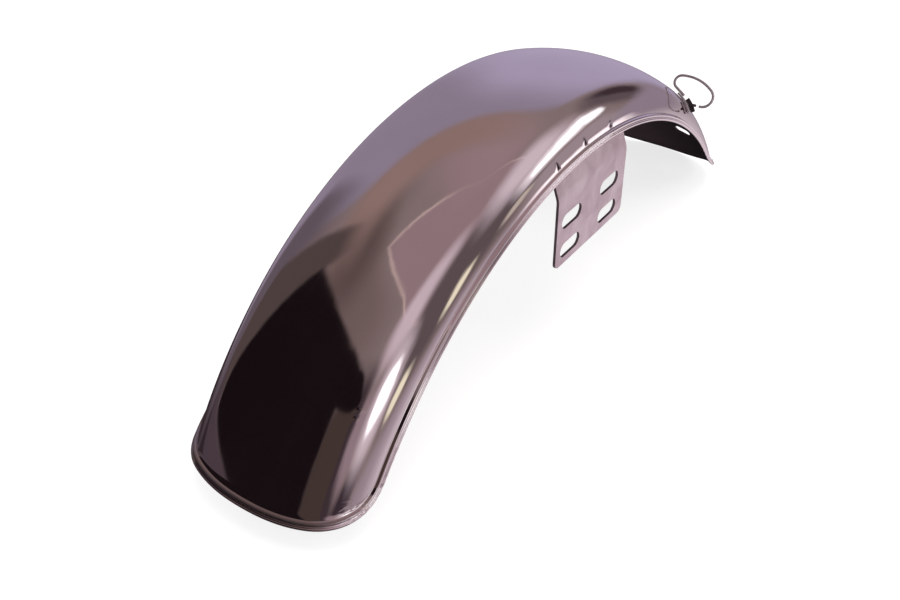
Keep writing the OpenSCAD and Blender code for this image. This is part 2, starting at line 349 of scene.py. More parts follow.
marks = [np.linspace(share_at(u, t - 0.5), share_at(u, t + 0.5), 15) for u, t in WELDS]
marks.append(np.linspace(share_at(-50.4, -47.3), share_at(-50.4, -45.1), 14))
rows = np.unique(np.concatenate([np.linspace(0, 1, N_ALONG + 1)] + marks).round(6))
keep = np.concatenate([[True], np.diff(rows) > 0.0003])
keep[-1] = True
rows = rows[keep]
U = np.broadcast_to(cols, (len(rows), len(cols))).copy()
lo, hi = end_at(cols, REAR, -1), end_at(cols, FRONT, 1)
TH = lo + (hi - lo) * rows[:, None]
print("blade grid", U.shape)

# %% [markdown]
# ## The crease
# The edge of the grid is the crease line. It is taken as one closed run of points, each with
# the direction that leads out over the edge there, so the rim that is carried round it has no
# joint at the corners.

# %% The closed edge
n_r, n_c = U.shape
ids = np.arange(n_r * n_c).reshape(n_r, n_c)
edge_ids = np.concatenate([ids[:, 0], ids[-1, 1:-1], ids[::-1, -1], ids[0, -2:0:-1]])
edge_u, edge_th = U.ravel()[edge_ids], TH.ravel()[edge_ids]
fu, fs = out_dir(cols[1:-1], FRONT, 1)
ru, rs = out_dir(cols[-2:0:-1], REAR, -1)
edge_du = np.concatenate([-np.ones(n_r), fu, np.ones(n_r), ru])
edge_ds = np.concatenate([np.zeros(n_r), fs, np.zeros(n_r), rs])
print("closed edge of %d points" % len(edge_ids))

# %% [markdown]
# ## The slot in the front end
# A hole cut by a boolean would leave long thin faces that show as scars in chrome. Instead a
# block of cells is left out of both skins, and rings lead from the block's border to the
# slot's outline, so the faces flow round the hole as the sheet does.

# %% Rings round the slot
BLOCK_U, BLOCK_TH = 13.5, 1.75
hole_u, hole_th = -HOLE_OFF, HOLE_AT
c0, c1 = np.searchsorted(cols, [hole_u - BLOCK_U, hole_u + BLOCK_U])
r0, r1 = np.searchsorted(TH[:, (c0 + c1) // 2], [hole_th - BLOCK_TH, hole_th + BLOCK_TH])
block = np.concatenate([ids[r0, c0:c1], ids[r0:r1, c1], ids[r1, c1:c0:-1], ids[r1:r0:-1, c0]])
bu = U.ravel()[block] - hole_u
bs = np.radians(TH.ravel()[block] - hole_th) * CROWN_R
core = np.clip(bu, -(HOLE_L - HOLE_W) / 2, (HOLE_L - HOLE_W) / 2)
dist = np.hypot(bu - core, bs)
slot_u = core + (bu - core) / dist * HOLE_W / 2
slot_s = bs / dist * HOLE_W / 2
ring_share = np.linspace(0, 1, 8)[1:, None]
ring_u = hole_u + bu + (slot_u - bu) * ring_share
ring_th = hole_th + np.degrees((bs + (slot_s - bs) * ring_share) / CROWN_R)
print("slot block of %d by %d cells, %d points round it" % (r1 - r0, c1 - c0, len(block)))

# %% [markdown]
# ## The rim's section
# Seen across, the sheet leaves the skirt through a small fillet, steps out by about the
# thickness of two sheets, runs flat with a fine groove along it, and ends in an edge rolled
# back on itself. The section below is a closed line from the outer skin round the roll to
# the inner skin, smoothed so that each part shows its own highlight.

# %% Rim section, in steps over the edge (a) and out from the skin (b)
HEM_IN, HEM_LIP, ROLL_POINTS, ROLL_OUTSIDE = 0.12, 0.22, 15, 9
hem_a = RIM_LEAD + RIM_BAND + HEM_R * 0.3 - HEM_IN
hem_b = RIM_STEP - 0.75 * HEM_R
t_hem = np.radians(np.linspace(112, -128, ROLL_POINTS))
lead = RIM_LEAD * 1.25
up = np.linspace(0, 1, 8)[1:]
ease = up * up * (3 - 2 * up)
band = np.linspace(0, 1, 9)[1:]
dip = GROOVE * np.exp(-((band - 0.5) / 0.16) ** 2) + HEM_LIP * np.clip((band - 0.86) / 0.14, 0, 1)
outer_line = np.concatenate([
    np.stack([lead * up, RIM_STEP * ease], 1),
    np.stack([lead + (hem_a - 0.55 - lead) * band, RIM_STEP - dip], 1)])
hem_line = np.stack([hem_a + HEM_R * np.cos(t_hem), hem_b + HEM_R * np.sin(t_hem)], 1)
back = np.linspace(0, 1, 8)[:-1]
ease_b = 1 - back * back * (3 - 2 * back)
inner_line = np.stack([RIM_LEAD * 1.15 * (1 - back) + 0.2,
                       (RIM_STEP - SHEET) * ease_b - SHEET * (1 - ease_b)], 1)
rim_line = np.concatenate([outer_line, hem_line, inner_line])
n_outer = len(outer_line) + ROLL_OUTSIDE
print("rim section has %d points" % len(rim_line))

# %% [markdown]
# ## Putting the blade together
# Outer skin, inner skin, rim rings and the slot's wall share their points where they meet,
# so the blade is one closed shell whose faces all look outwards. Near the four corners the
# rolled edge has too much length for its place, so it crumples into ripples 7 mm apart.

# %% Blade points
CRUMPLE, CRUMPLE_REACH = 0.32, 20
h = relief(U, TH)
outer = place(U, TH, b=h).reshape(-1, 3)
inner = place(U, TH, b=h - SHEET).reshape(-1, 3)
rim_a, rim_b = rim_line[:, :1], rim_line[:, 1:]
edge_at = place(edge_u, edge_th)
edge_s = np.concatenate([[0], np.cumsum(np.linalg.norm(np.diff(edge_at, axis=0), axis=1))])
corner_s = edge_s[[0, n_r - 1, n_r + n_c - 2, 2 * n_r + n_c - 3]]
away = np.abs(edge_s[:, None] - corner_s)
away = np.minimum(away, edge_s[-1] - away).min(1)
ripple = 0.5 + 0.5 * np.sin(edge_s / 1.1 + 2 * np.sin(edge_s / 7))
crumple = np.exp(-(away / CRUMPLE_REACH) ** 2) * ripple
rim_deep = np.clip(rim_a / (RIM_LEAD + RIM_BAND), 0, 1)
rim_h = rim_b + relief(edge_u, edge_th) - CRUMPLE * crumple * rim_deep
rim = place(edge_u, edge_th, edge_du, edge_ds, rim_a, rim_h).reshape(-1, 3)
h_ring = relief(ring_u, ring_th)
ring_out = place(ring_u, ring_th, b=h_ring).reshape(-1, 3)
ring_in = place(ring_u, ring_th, b=h_ring - SHEET).reshape(-1, 3)
points = np.concatenate([outer, inner, rim, ring_out, ring_in])
base_in = n_r * n_c
base_rim = 2 * base_in
base_out = base_rim + len(rim)
base_rin = base_out + len(ring_out)
print("blade has %d points" % len(points))


# %% Blade faces
def quads(a, b, c, d):
    """Stacks four index arrays as four-sided faces."""
    return np.stack([a.ravel(), b.ravel(), c.ravel(), d.ravel()], 1)


def volume(points, faces):
    """Signed volume: over the triangles of each face's fan, one sixth of a corner dotted with
    the cross product of the other two, all added up."""
    total = 0.0
    for f in faces:
        p = points[f]
        for k in range(1, f.shape[1] - 1):
            total += np.einsum("ij,ij->i", p[:, 0], np.cross(p[:, k], p[:, k + 1])).sum() / 6
    return total


cell = np.ones((n_r - 1, n_c - 1), bool)
cell[r0:r1, c0:c1] = False
a, b, c, d = ids[:-1, :-1][cell], ids[:-1, 1:][cell], ids[1:, 1:][cell], ids[1:, :-1][cell]
skin_out = [quads(a, b, c, d)]
skin_in = [quads(a + base_in, d + base_in, c + base_in, b + base_in)]
m = len(block)
nxt = (np.arange(m) + 1) % m
loops_out = [block] + [base_out + k * m + np.arange(m) for k in range(len(ring_share))]
loops_in = [block + base_in] + [base_rin + k * m + np.arange(m) for k in range(len(ring_share))]
for p, q in zip(loops_out[:-1], loops_out[1:]):
    skin_out.append(quads(p, p[nxt], q[nxt], q))
for p, q in zip(loops_in[:-1], loops_in[1:]):
    skin_in.append(quads(p, q, q[nxt], p[nxt]))
wall = quads(loops_out[-1], loops_out[-1][nxt], loops_in[-1][nxt], loops_in[-1])
n_e = len(edge_ids)
turn_e = (np.arange(n_e) + 1) % n_e
runs = [base_rim + k * n_e + np.arange(n_e) for k in range(len(rim_line))]
runs = [edge_ids] + runs + [edge_ids + base_in]
rim_faces = [quads(p, p[turn_e], q[turn_e], q) for p, q in zip(runs[:-1], runs[1:])]
rim_out, rim_in = np.concatenate(rim_faces[:n_outer]), np.concatenate(rim_faces[n_outer:])
groups = [np.concatenate(skin_out + [rim_out]), np.concatenate(skin_in + [wall, rim_in])]
vol = volume(points, groups)
if vol < 0:
    groups = [g[:, ::-1] for g in groups]
n_faces = sum(len(g) for g in groups)
print("blade holds %.1f cubic cm of steel, %d faces" % (abs(vol) / 1000, n_faces))

# %% [markdown]
# ## Polished chrome
# Bright nickel-chrome plating on polished steel. It has almost no colour of its own and is a
# near mirror, so what makes it look real is what it reflects and how slightly it fails to be
# perfect: faint polishing haze in patches, a few fine rub marks along the blade, and a breath
# of tarnish. Those go into roughness and a little bump; the metal's IOR stays at its default.

# %% Chrome for the outside
PUCKER_AT = (0.075, math.radians(-57.2) * CROWN_R * MM, 0.0)


def polished_chrome():
    """Mirror metal: haze patches of 60 mm, rub marks 2 mm apart and 40 mm long, waves of 14 mm,
    draw lines 5 mm apart and 120 mm long that run with the sheet by its own attribute, and
    puckers 3 mm apart at the rear corners, where the flat sheet had too much edge to lose.
    Where the mesh's own weld attribute is high it turns rough and its colour is painted
    brown-black: a painted dark reflection in the weld marks, painted shade in the rim's step."""
    m, t, s, at = new_metal("polished_chrome", 1.0)
    haze = noise(t, at, 0.060, Detail=4.0, Roughness=0.55)
    rubs = noise(t, stretched(t, at, (0.040, 0.002, 0.040)), 1.0, Detail=3.0)
    rub_share = maths(t, "MULTIPLY", ranged(t, rubs, 0.60, 0.82), 0.05)
    polish = maths(t, "ADD", ranged(t, haze, 0.3, 0.7, 0.03, 0.075), rub_share)
    # Share of painted dark: a painted dark reflection in the weld marks and painted shade in the
    # rim's step; it mixes the colour towards #2a1d20
    painted_dark = add(t, "ShaderNodeAttribute", attribute_name="weld").outputs["Fac"]
    feed(t, s["Base Color"], blend(t, painted_dark, blend(t, haze, "#efe9ec", "#e2dadd"), "#2a1d20"))
    feed(t, s["Roughness"], blend(t, painted_dark, polish, 0.45, "FLOAT"))

    sheet_at = add(t, "ShaderNodeAttribute", attribute_name="sheet").outputs["Vector"]
    lines = noise(t, stretched(t, sheet_at, (0.005, 0.120, 1.0)), 1.0, Detail=3.0, Roughness=0.6)
    parts = add(t, "ShaderNodeSeparateXYZ", [("Vector", sheet_at)]).outputs
    apart = maths(t, "ABSOLUTE", parts["X"])
    shoulder = ranged(t, apart, 0.044, 0.058, 0.07, 0.5)
    fold_at = add(t, "ShaderNodeCombineXYZ", [("X", apart), ("Y", parts["Y"])]).outputs[0]
    gap = add(t, "ShaderNodeVectorMath", [(0, fold_at)], operation="DISTANCE")
    gap.inputs[1].default_value = PUCKER_AT
    near = ranged(t, gap.outputs["Value"], 0.007, 0.018, 1.0, 0.0)
    turned_at = add(t, "ShaderNodeMapping", [("Vector", fold_at)], vector_type="TEXTURE",
                    Rotation=(0.0, 0.0, math.radians(45)), Scale=(0.014, 0.0028, 1.0)).outputs[0]
    folds = noise(t, turned_at, 1.0, Detail=2.0, Distortion=0.4)

    waves = bump(t, noise(t, at, 0.014, Detail=1.0), 0.0004, 0.10)
    feed(t, s["Normal"], bump(t, folds, 0.0009, near, bump(t, lines, 0.00012, shoulder, waves)))
    return m


chrome = polished_chrome()
print("chrome ready")

# %% [markdown]
# ## The unpolished inside
# Only the outside is buffed before plating. Inside, the same plating lies thin over drawn
# steel, so it is darker and scatters what it reflects, with stains from the plating bath.

# %% Raw plated inside
def raw_plating():
    """Dark scattering metal: stains of 35 mm and grain of 1.5 mm drive roughness, tone and bump."""
    m, t, s, at = new_metal("raw_plated_inside", 1.0)
    stain = noise(t, at, 0.035, Detail=6.0, Roughness=0.6)
    feed(t, s["Base Color"], blend(t, stain, "#8a8085", "#6f666a"))
    feed(t, s["Roughness"], ranged(t, stain, 0.0, 1.0, 0.28, 0.5))
    feed(t, s["Normal"], bump(t, noise(t, at, 0.0015, Detail=2.0), 0.0003, 0.2))
    return m


inside = raw_plating()
print("inside ready")

# %% [markdown]
# ## The blade as a piece
# Its points carry two attributes for the chrome. `sheet` is the place in the flat sheet, which
# the draw lines and puckers follow. `weld` is the share of painted dark in the colour, with more
# roughness: fully in the weld marks, where it paints the dark reflection of the dented facets,
# and partly in the step of the rim at the rear end, where it paints the shade in the crease.

# %% Blade with its attributes
STEP_ROW, STEP_REACH, STEP_PAINTED_SHADE = 4, 3.5, 0.75
blade = mesh_piece("blade_sheet", to_row(points), groups, (chrome, inside))
# Share of painted dark per point: a painted dark reflection in the weld marks on the outer skin,
# and painted shade in the rim's step
painted_dark = np.zeros(len(points), dtype=np.float32)
painted_dark[:base_in] = weld_mark(U, TH)[0].ravel()
# Painted shade in the step of the rim at the rear end: the colour is darkened along the crease
# there
in_step = np.exp(-((np.arange(len(rim_line)) - STEP_ROW) / STEP_REACH) ** 2)[:, None]
at_rear = np.clip(-edge_ds, 0, 1) ** 3
painted_dark[base_rim:base_out] = STEP_PAINTED_SHADE * (in_step * at_rear).ravel()
blade.data.attributes.new("weld", "FLOAT", "POINT").data.foreach_set("value", painted_dark)
rim_u, rim_th = edge_u + edge_du * rim_a, edge_th + np.degrees(edge_ds * rim_a / CROWN_R)
places = ((U, TH), (U, TH), (rim_u, rim_th), (ring_u, ring_th), (ring_u, ring_th))
sheet = np.zeros((len(points), 3), dtype=np.float32)
sheet[:, 0] = np.concatenate([np.ravel(u) for u, th in places])
sheet[:, 1] = np.radians(np.concatenate([np.ravel(th) for u, th in places])) * CROWN_R
sheet *= MM
blade.data.attributes.new("sheet", "FLOAT_VECTOR", "POINT").data.foreach_set(
    "vector", sheet.ravel())
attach(blade, "root")
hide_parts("blade")
print("blade ready, dull up to %.2f in the rim's step" % painted_dark[base_rim:base_out].max())

# %% [markdown]
# ## Dull zinc on the fork plates
# The brackets are plain sheet steel with dull zinc plating: a soft, even sheen with cloudy
# blotches where the zinc grew differently, faint roller lines, and no mirror reflection.

# %% Dull zinc
def dull_zinc():
    """Satin metal: clouds of 22 mm for tone, streaks of 1.2 mm for roughness, grain of 0.7 mm
    for bump."""
    m, t, s, at = new_metal("dull_zinc_plating", 1.0)
    cloud = noise(t, at, 0.022, Detail=5.0, Roughness=0.6, Distortion=0.6)
    feed(t, s["Base Color"], blend(t, ranged(t, cloud, 0.36, 0.64), "#c6b6bd", "#ddd1d6"))
    streak = noise(t, stretched(t, at, (0.025, 0.00125, 0.00125)), 1.0, Detail=3.0)
    feed(t, s["Roughness"], ranged(t, streak, 0.0, 1.0, 0.34, 0.54))
    feed(t, s["Normal"], bump(t, noise(t, at, 0.0007, Detail=3.0), 0.0002, 0.25))
    return m


zinc = dull_zinc()
print("zinc ready")

# %% [markdown]
# ## Fork plates
# Each plate hugs the inside of the skirt where it is welded, leans out past the rim in the
# skirt's own direction, and bends to hang straight down. Its face is a function of height and
# length only: at any place the distance from the axle gives how far out it lies. So the
# outline, with its slots, is filled flat and then every point is pushed out to its place.

# %% Fork plate sizes
PLATE_T, PLATE_L, PLATE_AHEAD, FACE_Y = 2.0, 94.0, 2.0, 70.0
SLOT_DX, SLOT_DZ, SLOT_L, SLOT_W, FOOT, CORNER = 52.0, 23.0, 26.0, 11.0, 11.0, 5.0
SHEARED = 0.3
WELD_H, BEND_R, SEAT = 15.0, 16.0, 0.15
SLOTS_X, SLOTS_Z = ORIGIN[0], ORIGIN[2]

lean = math.pi / 2 - turn
y_low, r_low, _ = (float(v) for v in across(np.array(GIRTH)))
rise = BEND_R * (1 - math.cos(lean))
run_y = FACE_Y - (y_low - (SHEET + SEAT) * math.sin(turn)) - rise
bend_top = r_low - run_y / math.tan(lean)
bend_mid = bend_top - BEND_R * math.sin(lean)
weld_u = np.linspace(GIRTH - WELD_H, GIRTH, 12)
wy, wr, wl = across(weld_u)
hug_r, hug_y = wr - (SHEET + SEAT) * np.cos(wl), wy - (SHEET + SEAT) * np.sin(wl)
bend_t = lean * (1 - np.linspace(0, 1, 10))
line_r = np.concatenate([hug_r, bend_mid + BEND_R * np.sin(bend_t)])
line_y = np.concatenate([hug_y, FACE_Y - BEND_R + BEND_R * np.cos(bend_t)])
print("plate meets the skirt at radius %.1f and is straight below %.1f" % (hug_r[-1], line_r[-1]))

# %% [markdown]
# ## Filling a plate round its slots
# The welded and bent part is a grid. Below the bend the face is flat, so there the outline
# and the four slots are filled with triangles. The sheet's thickness and the small bevel of
# its sheared edges come from modifiers.

# %% Slot outline and broken edges
def rounded_slot(cx, cz):
    """Closed outline of a slot: two half circles joined by straight sides."""
    t = np.radians(np.linspace(-90, 90, 15))
    s = (SLOT_L - SLOT_W) / 2
    right = np.stack([cx + s + SLOT_W / 2 * np.cos(t), cz + SLOT_W / 2 * np.sin(t)], 1)
    left = np.stack([cx - s - SLOT_W / 2 * np.cos(t), cz - SLOT_W / 2 * np.sin(t)], 1)
    return np.concatenate([right, left])


def bevel(ob, name, width, segments):
    """Breaks the edges that turn by more than 50 degrees, by a width in millimetres."""
    m = ob.modifiers.new(name, "BEVEL")
    m.width, m.segments = width * MM, segments
    m.limit_method, m.angle_limit = "ANGLE", math.radians(50)
    return m


print("slots of %.0f by %.0f mm" % (SLOT_L, SLOT_W))


# %% Fork plate surface
def fork_plate(name, side):
    """Upper grid by length and radius, whose height is the root of radius squared less length
    squared, and a lower flat field filled round the slots. `side` is -1 right and 1 left."""
    x0 = SLOTS_X + PLATE_AHEAD - PLATE_L / 2
    x1 = x0 + PLATE_L
    foot = SLOTS_Z - SLOT_DZ / 2 - FOOT
    xs = np.linspace(x0, x1, 49)
    gx = np.broadcast_to(xs, (len(line_r), len(xs)))
    gr = np.broadcast_to(line_r[:, None], gx.shape)
    gy = np.broadcast_to(line_y[:, None], gx.shape)
    grid = np.stack([gx, gy, np.sqrt(gr ** 2 - gx ** 2)], -1).reshape(-1, 3)
    nx = len(xs)
    gid = np.arange(len(grid)).reshape(len(line_r), nx)
    t = np.radians(np.linspace(0, 90, 8))
    right = np.stack([x1 - CORNER + CORNER * np.cos(t), foot + CORNER - CORNER * np.sin(t)], 1)
    left = np.stack([x0 + CORNER - CORNER * np.sin(t), foot + CORNER - CORNER * np.cos(t)], 1)
    rim_2d = np.concatenate([right, left])
    bm = bmesh.new()
    verts = [bm.verts.new(p) for p in grid]
    for j in range(len(line_r) - 1):
        for i in range(nx - 1):
            corners = (gid[j, i], gid[j + 1, i], gid[j + 1, i + 1], gid[j, i + 1])
            bm.faces.new([verts[k] for k in corners])
    low = [verts[k] for k in gid[-1]]
    outline = low + [bm.verts.new((p[0], FACE_Y, p[1])) for p in rim_2d]
    loops = [outline]
    for sx in (-1, 1):
        for sz in (-1, 1):
            slot = rounded_slot(SLOTS_X + sx * SLOT_DX / 2, SLOTS_Z + sz * SLOT_DZ / 2)
            loops.append([bm.verts.new((p[0], FACE_Y, p[1])) for p in slot])
    edges = []
    for loop in loops:
        for p, q in zip(loop, loop[1:] + loop[:1]):
            edges.append(bm.edges.get((p, q)) or bm.edges.new((p, q)))
    bmesh.ops.triangle_fill(bm, use_beauty=True, use_dissolve=False, edges=edges)
    bmesh.ops.recalc_face_normals(bm, faces=bm.faces)
    for v in bm.verts:
        v.co = Vector(to_row((v.co.x, side * v.co.y, v.co.z)))
    bm.normal_update()
    if sum(f.normal.y * f.calc_area() for f in bm.faces) * side < 0:
        bmesh.ops.reverse_faces(bm, faces=bm.faces)
    me = bpy.data.meshes.new(name)
    bm.to_mesh(me)
    bm.free()
    ob = bpy.data.objects.new(name, me)
    bpy.context.scene.collection.objects.link(ob)
    me.materials.append(zinc)
    me.polygons.foreach_set("use_smooth", np.ones(len(me.polygons), bool))
    thick = ob.modifiers.new("thickness", "SOLIDIFY")
    thick.thickness, thick.offset, thick.use_even_offset = PLATE_T * MM, -1.0, True
    bevel(ob, "sheared_edge", SHEARED, 2).harden_normals = True
    return ob


for name, node, side in (("fork_plate_right", "plate_right", -1),
                         ("fork_plate_left", "plate_left", 1)):
    plate = fork_plate(name, side)
    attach(plate, "root")
    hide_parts(node)
print("fork plates ready")

# %% [markdown]
# ## The cable guide
# A strip is welded across the right shoulder near the front, with a lug standing up along its
# front edge. A wire bent in one plane leaves the strip, turns round in a flattened loop and
# stops short of a stud on the lug, so that a cable can be pressed in past the gap.

# %% Guide sizes and frame
GUIDE_AT, GUIDE_OFF, STRIP_L, STRIP_W, STRIP_T = 37.5, GIRTH - 18.0, 18.0, 8.0, 1.6
LUG_L, LUG_H, LUG_T, WIRE_D, LOOP_GAP, STUD_L = 11.0, 3.2, 1.6, 2.2, 2.6, 3.8
LEG_A, LEG_L, TAIL_L = 151.5, 10.0, 1.0
BENDS = [(5.5, 140.5), (35.0, 47.5), (7.8, 141.0)]
WIRE_R, EDGE_BREAK, LUG_BACK = WIRE_D * 0.495, 0.35, 0.02


def guide_to_axle(p):
    """The guide's frame (out to the side, away from the axle, back along the blade) to the
    axle's: a shift to the guide's place, then a turn by its angle."""
    t = math.radians(GUIDE_AT)
    r, y, back_s = r_mid + p[..., 1], -(y_mid + p[..., 0]), p[..., 2]
    ahead, height = r * math.sin(t) - back_s * math.cos(t), r * math.cos(t) + back_s * math.sin(t)
    return np.stack([ahead, y, height], -1)


def wire_run(at, heading):
    """The bent wire's middle line: straight pieces a step long, and bends that turn clockwise
    about a centre to their right. Returns the points, the end and the heading there."""
    def step(p, a, l):
        """Point at distance l from p in direction a."""
        return np.array([p[0] + l * math.cos(a), p[1] + l * math.sin(a)])

    line = [np.linspace(at, step(at, heading, LEG_L), 10)]
    at = line[-1][-1]
    for r, angle in BENDS:
        angle = math.radians(angle)
        centre = step(at, heading - math.pi / 2, r)
        t = heading + math.pi / 2 - np.linspace(0, angle, 45)[1:]
        line.append(centre + r * np.stack([np.cos(t), np.sin(t)], 1))
        at, heading = line[-1][-1], heading - angle
    line.append(np.linspace(at, step(at, heading, TAIL_L), 4)[1:])
    return np.concatenate(line), line[-1][-1], heading


y_mid, r_mid, _ = (float(v) for v in across(np.array(GUIDE_OFF)))
y_in, r_in, l_in = (float(v) for v in across(np.array(GUIDE_OFF - STRIP_L / 2 + WIRE_D * 1.4)))
leg_off = STRIP_T + 2 * SEAT + WIRE_D / 2
leg_foot = np.array([y_in - y_mid + leg_off * math.sin(l_in),
                     r_in - r_mid + leg_off * math.cos(l_in)])
wire_z = LUG_T - STRIP_W / 2 + SEAT + WIRE_D / 2
run, run_end, run_heading = wire_run(leg_foot, math.radians(LEG_A))
print("wire run %.1f mm long" % np.hypot(*np.diff(run, axis=0).T).sum())

# %% [markdown]
# ## Bright wire, dark lug and stud
# The wire and strip are bright-plated like the blade, with more haze, since nobody buffs so
# small a piece. The lug and the stud are rough steel coloured between near black and brown.

# %% Finishes of the guide
def bright_wire():
    """Hazy plated metal: patches of 3 mm move the roughness and the tone a little."""
    m, t, s, at = new_metal("bright_plated_wire", 0.65)
    patch = noise(t, at, 0.003, Detail=4.0)
    feed(t, s["Base Color"], blend(t, patch, "#9d9298", "#d0c7cc"))
    feed(t, s["Roughness"], ranged(t, patch, 0.0, 1.0, 0.18, 0.32))
    return m


def dark_rough_steel_finish():
    """Dark steel: grains of 1 mm between near black and brown, rough, with a fine bump."""
    m, t, s, at = new_metal("dark_rough_steel", 0.8, 0.42)
    scale = noise(t, at, 0.001, Detail=4.0)
    feed(t, s["Base Color"], blend(t, scale, "#1f1a1c", "#6a5f62"))
    feed(t, s["Normal"], bump(t, scale, 0.0002, 0.4))
    return m


wire_metal, dark_steel = bright_wire(), dark_rough_steel_finish()
print("guide finishes ready")


# %% [markdown]
# ## Wire and stud
# Both are round and lie in one plane, so both are a circle carried along a path. The wire is
# a hair thinner than the solid's, so that it stays inside the solid's box.

# %% Wire loop carried along its path
def tube(name, path, radius, sides, material):
    """Carries a circle along a path in the guide's plane: each ring stands square to the path's
    direction, the ends are rounded off a little, and fans of triangles close them."""
    path = np.concatenate([path, np.full((len(path), 1), wire_z)], 1)
    d = np.gradient(path, axis=0)
    d /= np.linalg.norm(d, axis=1)[:, None]
    flat = np.array([0.0, 0.0, 1.0])
    side = np.cross(d, flat)
    t = np.linspace(0, 2 * math.pi, sides, endpoint=False)
    idx = np.concatenate([[0, 0], np.arange(len(path)), [-1, -1]])
    size = np.concatenate([[0.02, 0.86], np.ones(len(path)), [0.86, 0.02]]) * radius
    ends = np.zeros(len(idx))
    ends[2], ends[-3] = 0.12 * radius, -0.12 * radius
    centre = path[idx] + d[idx] * ends[:, None]
    rings = centre[:, None] + size[:, None, None] * (
        np.cos(t)[None, :, None] * side[idx][:, None] + np.sin(t)[None, :, None] * flat)
    i = np.arange(len(idx) * sides).reshape(len(idx), sides)
    j = np.roll(i, -1, axis=1)
    first, last, hub = i[0][::-1], i[-1], [0] * (sides - 2)
    caps = np.stack([np.concatenate([first[hub], last[hub]]),
                     np.concatenate([first[1:-1], last[1:-1]]),
                     np.concatenate([first[2:], last[2:]])], 1)
    pts = guide_to_axle(rings.reshape(-1, 3))
    faces = [quads(i[:-1], j[:-1], j[1:], i[1:]), caps]
    if volume(pts, faces) < 0:
        faces = [f[:, ::-1] for f in faces]
    return mesh_piece(name, to_row(pts), faces, (material,))


wire = tube("guide_wire", run, WIRE_R, 20, wire_metal)
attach(wire, "root")
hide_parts("guide_loop")
print("wire of %d points" % len(wire.data.vertices))

# %% [markdown]
# ## Strip and lug
# Both follow the shoulder, so each is a patch of the blade's own surface lifted to its height
# and closed down to just above the skin.

# %% Strip and lug on the shoulder
def shoulder_band(mid, length, height, back, width, n_u, n_t):
    """Closed block between two lifted copies of the skin, and its faces: a grid of places on
    the shoulder, raised by the seat at the bottom and by the height above that at the top."""
    u = np.linspace(mid - length / 2, mid + length / 2, n_u)
    front = math.degrees(math.asin(STRIP_W / 2 / r_mid)) - math.degrees(math.asin(back / r_mid))
    th = GUIDE_AT + front - np.degrees(np.arcsin(np.linspace(0, width, n_t) / r_mid))
    uu, tt = np.meshgrid(-u, th)
    top = place(uu, tt, b=SEAT + height).reshape(-1, 3)
    low = place(uu, tt, b=SEAT).reshape(-1, 3)
    i = np.arange(uu.size).reshape(uu.shape)
    k = i + uu.size
    ring = np.concatenate([i[0], i[1:, -1], i[-1, -2::-1], i[-2:0:-1, 0]])
    nxt = np.roll(ring, -1)
    faces = [quads(i[:-1, :-1], i[1:, :-1], i[1:, 1:], i[:-1, 1:]),
             quads(k[:-1, :-1], k[:-1, 1:], k[1:, 1:], k[1:, :-1]),
             quads(ring, nxt, nxt + uu.size, ring + uu.size)]
    pts, faces = np.concatenate([top, low]), np.concatenate(faces)
    return pts, [faces[:, ::-1] if volume(pts, [faces]) < 0 else faces]


strip_pts, strip_faces = shoulder_band(GUIDE_OFF, STRIP_L, STRIP_T, 0, STRIP_W, 25, 9)
lug_mid = GUIDE_OFF + (STRIP_L - LUG_L) / 2 - LUG_T / 2
lug_pts, lug_faces = shoulder_band(lug_mid, LUG_L, STRIP_T + LUG_H, LUG_BACK, LUG_T, 19, 3)
for name, pts, faces, finish in (("guide_strip_plate", strip_pts, strip_faces, wire_metal),
                                 ("guide_lug", lug_pts, lug_faces, dark_steel)):
    piece = mesh_piece(name, to_row(pts), faces, (finish,))
    bevel(piece, "broken_edge", EDGE_BREAK, 3)
    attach(piece, "root")
    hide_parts("guide_strip")
print("strip and lug ready")

# %% Stud across the gap from the wire's end
stud_dir = np.array([math.cos(run_heading), math.sin(run_heading)])
stud_path = run_end + stud_dir * (LOOP_GAP + np.linspace(0, STUD_L, 6))[:, None]
stud = tube("guide_stud_pin", stud_path, WIRE_D / 2, 24, dark_steel)
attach(stud, "root")
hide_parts("guide_stud")
print("stud %.1f mm past the wire's end, cable guide ready" % LOOP_GAP)

# %% [markdown]
# ## The floor
# The photograph is cut out on white, so the floor is white to the camera, by a plain glow over
# a grey that still takes the blade's shadow. Reflections pass through it to the surroundings.

# %% Floor that keeps the shadow
FLOOR_DROP, FLOOR_SIZE, MIDDLE_Y = 0.0005, 60, 0.07
floor_at = (0, MIDDLE_Y, cad_box[0][2] - FLOOR_DROP)
bpy.ops.mesh.primitive_plane_add(size=FLOOR_SIZE, location=floor_at)
floor = bpy.context.object
floor.name = "floor"
fm = bpy.data.materials.new("white_floor")
fm.use_nodes = True
ft = fm.node_tree
ft.nodes.clear()
paint = add(ft, "ShaderNodeBsdfDiffuse", Color=(0.45, 0.45, 0.45, 1))
lift = add(ft, "ShaderNodeEmission", Color=(1, 1, 1, 1), Strength=0.76)
seen = add(ft, "ShaderNodeAddShader", [(0, paint.outputs[0]), (1, lift.outputs[0])])
clear = add(ft, "ShaderNodeBsdfTransparent")
glossy = add(ft, "ShaderNodeLightPath").outputs["Is Glossy Ray"]
pick = add(ft, "ShaderNodeMixShader", [(0, glossy), (1, seen.outputs[0]), (2, clear.outputs[0])])
add(ft, "ShaderNodeOutputMaterial", [("Surface", pick.outputs[0])])
floor.data.materials.append(fm)
print("floor %.1f mm under the blade" % (FLOOR_DROP / MM))

# %% [markdown]
# ## What the chrome reflects
# Chrome shows its surroundings, so for reflections the world is laid out by direction. An
# area is a superellipse in azimuth and elevation with a soft or a sharp outline. A straight
# line in a room, such as the join of two walls or a sloping top edge, is a plane that cuts
# the sphere of directions: those in front of it take the colour.

